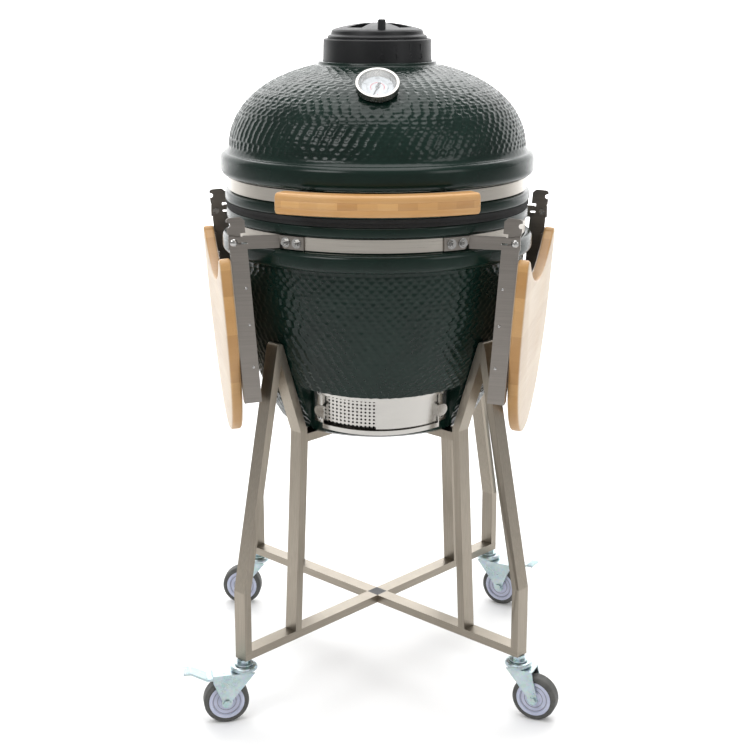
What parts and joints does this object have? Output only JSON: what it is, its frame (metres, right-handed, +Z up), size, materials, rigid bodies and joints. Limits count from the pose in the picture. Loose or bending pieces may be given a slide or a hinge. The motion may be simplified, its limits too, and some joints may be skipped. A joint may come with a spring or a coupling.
{
  "type": "ceramic egg charcoal grill on wheeled stand",
  "caption": "Ceramic egg-shaped charcoal grill with a hinged lid, turning top vent, sliding draft door and folding side shelves, on a wheeled steel stand.",
  "frame": {"origin": "on the floor, on the egg's vertical axis", "axes": "+Z up, -Y towards the handle, the thermometer and the draft door at the front, +X to the right seen from the front"},
  "size_m": [0.6413, 0.615, 1.1422],
  "materials": {
    "glaze": "gloss",
    "felt": "matte",
    "band": "satin",
    "clay": "matte",
    "grate_iron": "matte",
    "grid_steel": "polished",
    "bamboo": "oiled",
    "bracket_steel": "brushed",
    "fastener": "polished",
    "spring": "satin",
    "gauge_steel": "polished",
    "gauge_dial": "matte",
    "gauge_needle": "matte",
    "gauge_glass": "clear",
    "vent_iron": "satin",
    "draft_steel": "polished",
    "tube_steel": "satin",
    "plug": "matte",
    "zinc": "zinc plated",
    "hub": "satin",
    "tyre": "matte"
  },
  "bodies": {
    "base": {"base_shell": "glaze", "base_gasket": "felt", "base_band": "band", "fire_bowl": "clay", "fire_ring": "clay", "charcoal_grate": "grate_iron", "cooking_grid": "grid_steel", "hinge_base_bracket": "bracket_steel", "hinge_pin": "fastener", "hinge_springs": "spring", "draft_frame": "draft_steel", "draft_screws": "fastener", "leg_frames_front": "tube_steel", "leg_frames_back": "tube_steel", "cross_plugs": "plug", "shelf_brackets": "bracket_steel", "base_band_bolts": "fastener", "shelf_pivots": "fastener", "caster_stems": "zinc"},
    "lid": {"lid_shell": "glaze", "lid_gasket": "felt", "lid_band": "band", "lid_handle": "bamboo", "handle_brackets": "bracket_steel", "lid_band_bolts": "fastener", "thermometer_case": "gauge_steel", "thermometer_dial": "gauge_dial", "thermometer_glass": "gauge_glass", "vent_collar": "vent_iron", "vent_pivot": "fastener", "hinge_lid_bracket": "bracket_steel"},
    "vent": {"vent_disc": "vent_iron"},
    "needle": {"thermometer_needle": "gauge_needle"},
    "screen": {"draft_screen": "draft_steel"},
    "door": {"draft_door": "draft_steel"},
    "left_shelf": {"left_shelf_arms": "bracket_steel", "left_shelf_board": "bamboo", "left_shelf_screws": "fastener"},
    "right_shelf": {"right_shelf_arms": "bracket_steel", "right_shelf_board": "bamboo", "right_shelf_screws": "fastener"},
    "caster_front_left": {"fork_front_left": "zinc", "axle_front_left": "zinc"},
    "wheel_body_front_left": {"wheel_front_left": "hub", "tyre_front_left": "tyre"},
    "brake_body_front_left": {"brake_front_left": "zinc"},
    "caster_front_right": {"fork_front_right": "zinc", "axle_front_right": "zinc"},
    "wheel_body_front_right": {"wheel_front_right": "hub", "tyre_front_right": "tyre"},
    "caster_back_right": {"fork_back_right": "zinc", "axle_back_right": "zinc"},
    "wheel_body_back_right": {"wheel_back_right": "hub", "tyre_back_right": "tyre"},
    "brake_body_back_right": {"brake_back_right": "zinc"},
    "caster_back_left": {"fork_back_left": "zinc", "axle_back_left": "zinc"},
    "wheel_body_back_left": {"wheel_back_left": "hub", "tyre_back_left": "tyre"}
  },
  "joints": [
    {"name": "lid_hinge", "type": "hinge", "parent": "base", "child": "lid", "pos_m": [0, 0.285, 0.838], "axis": [-1, 0, 0], "range_deg": [0, 75]},
    {"name": "vent_turn", "type": "hinge", "parent": "lid", "child": "vent", "pos_m": [0, 0, 1.1093], "axis": [0, 0, 1], "range_deg": [0, 45]},
    {"name": "thermometer_needle_turn", "type": "hinge", "parent": "lid", "child": "needle", "pos_m": [0, -0.18272, 1.0375], "axis": [0, -0.6157, 0.788], "range_deg": [-270, 0]},
    {"name": "draft_screen_slide", "type": "hinge", "parent": "base", "child": "screen", "pos_m": [0.00043, -0.0112, 0.54666], "axis": [0.008, -0.2078, 0.9781], "range_deg": [0, 26]},
    {"name": "draft_door_slide", "type": "hinge", "parent": "base", "child": "door", "pos_m": [0.00043, -0.0112, 0.54666], "axis": [0.008, -0.2078, 0.9781], "range_deg": [-26, 0]},
    {"name": "left_shelf_fold", "type": "hinge", "parent": "base", "child": "left_shelf", "pos_m": [-0.25719, -0.04999, 0.8021], "axis": [-0.1908, 0.9816, 0], "range_deg": [0, 94.2]},
    {"name": "right_shelf_fold", "type": "hinge", "parent": "base", "child": "right_shelf", "pos_m": [0.25444, -0.0625, 0.8021], "axis": [-0.2385, -0.9711, 0], "range_deg": [0, 94.2]},
    {"name": "caster_swivel_front_left", "type": "hinge", "parent": "base", "child": "caster_front_left", "pos_m": [-0.22111, -0.23546, 0.092], "axis": [0, 0, 1], "continuous": true},
    {"name": "wheel_spin_front_left", "type": "hinge", "parent": "caster_front_left", "child": "wheel_body_front_left", "pos_m": [-0.25143, -0.2419, 0.0375], "axis": [0.2079, -0.9781, 0], "continuous": true},
    {"name": "brake_press_front_left", "type": "hinge", "parent": "caster_front_left", "child": "brake_body_front_left", "pos_m": [-0.26512, -0.24481, 0.08], "axis": [0.2079, -0.9781, 0], "range_deg": [0, 8]},
    {"name": "caster_swivel_front_right", "type": "hinge", "parent": "base", "child": "caster_front_right", "pos_m": [0.23546, -0.22111, 0.092], "axis": [0, 0, 1], "continuous": true},
    {"name": "wheel_spin_front_right", "type": "hinge", "parent": "caster_front_right", "child": "wheel_body_front_right", "pos_m": [0.26378, -0.23372, 0.0375], "axis": [0.4067, 0.9135, 0], "continuous": true},
    {"name": "caster_swivel_back_right", "type": "hinge", "parent": "base", "child": "caster_back_right", "pos_m": [0.22111, 0.23546, 0.092], "axis": [0, 0, 1], "continuous": true},
    {"name": "wheel_spin_back_right", "type": "hinge", "parent": "caster_back_right", "child": "wheel_body_back_right", "pos_m": [0.24796, 0.21996, 0.0375], "axis": [0.5, 0.866, 0], "continuous": true},
    {"name": "brake_press_back_right", "type": "hinge", "parent": "caster_back_right", "child": "brake_body_back_right", "pos_m": [0.26008, 0.21296, 0.08], "axis": [0.5, 0.866, 0], "range_deg": [0, 8]},
    {"name": "caster_swivel_back_left", "type": "hinge", "parent": "base", "child": "caster_back_left", "pos_m": [-0.23546, 0.22111, 0.092], "axis": [0, 0, 1], "continuous": true},
    {"name": "wheel_spin_back_left", "type": "hinge", "parent": "caster_back_left", "child": "wheel_body_back_left", "pos_m": [-0.26638, 0.22327, 0.0375], "axis": [-0.0698, -0.9976, 0], "continuous": true}
  ]
}
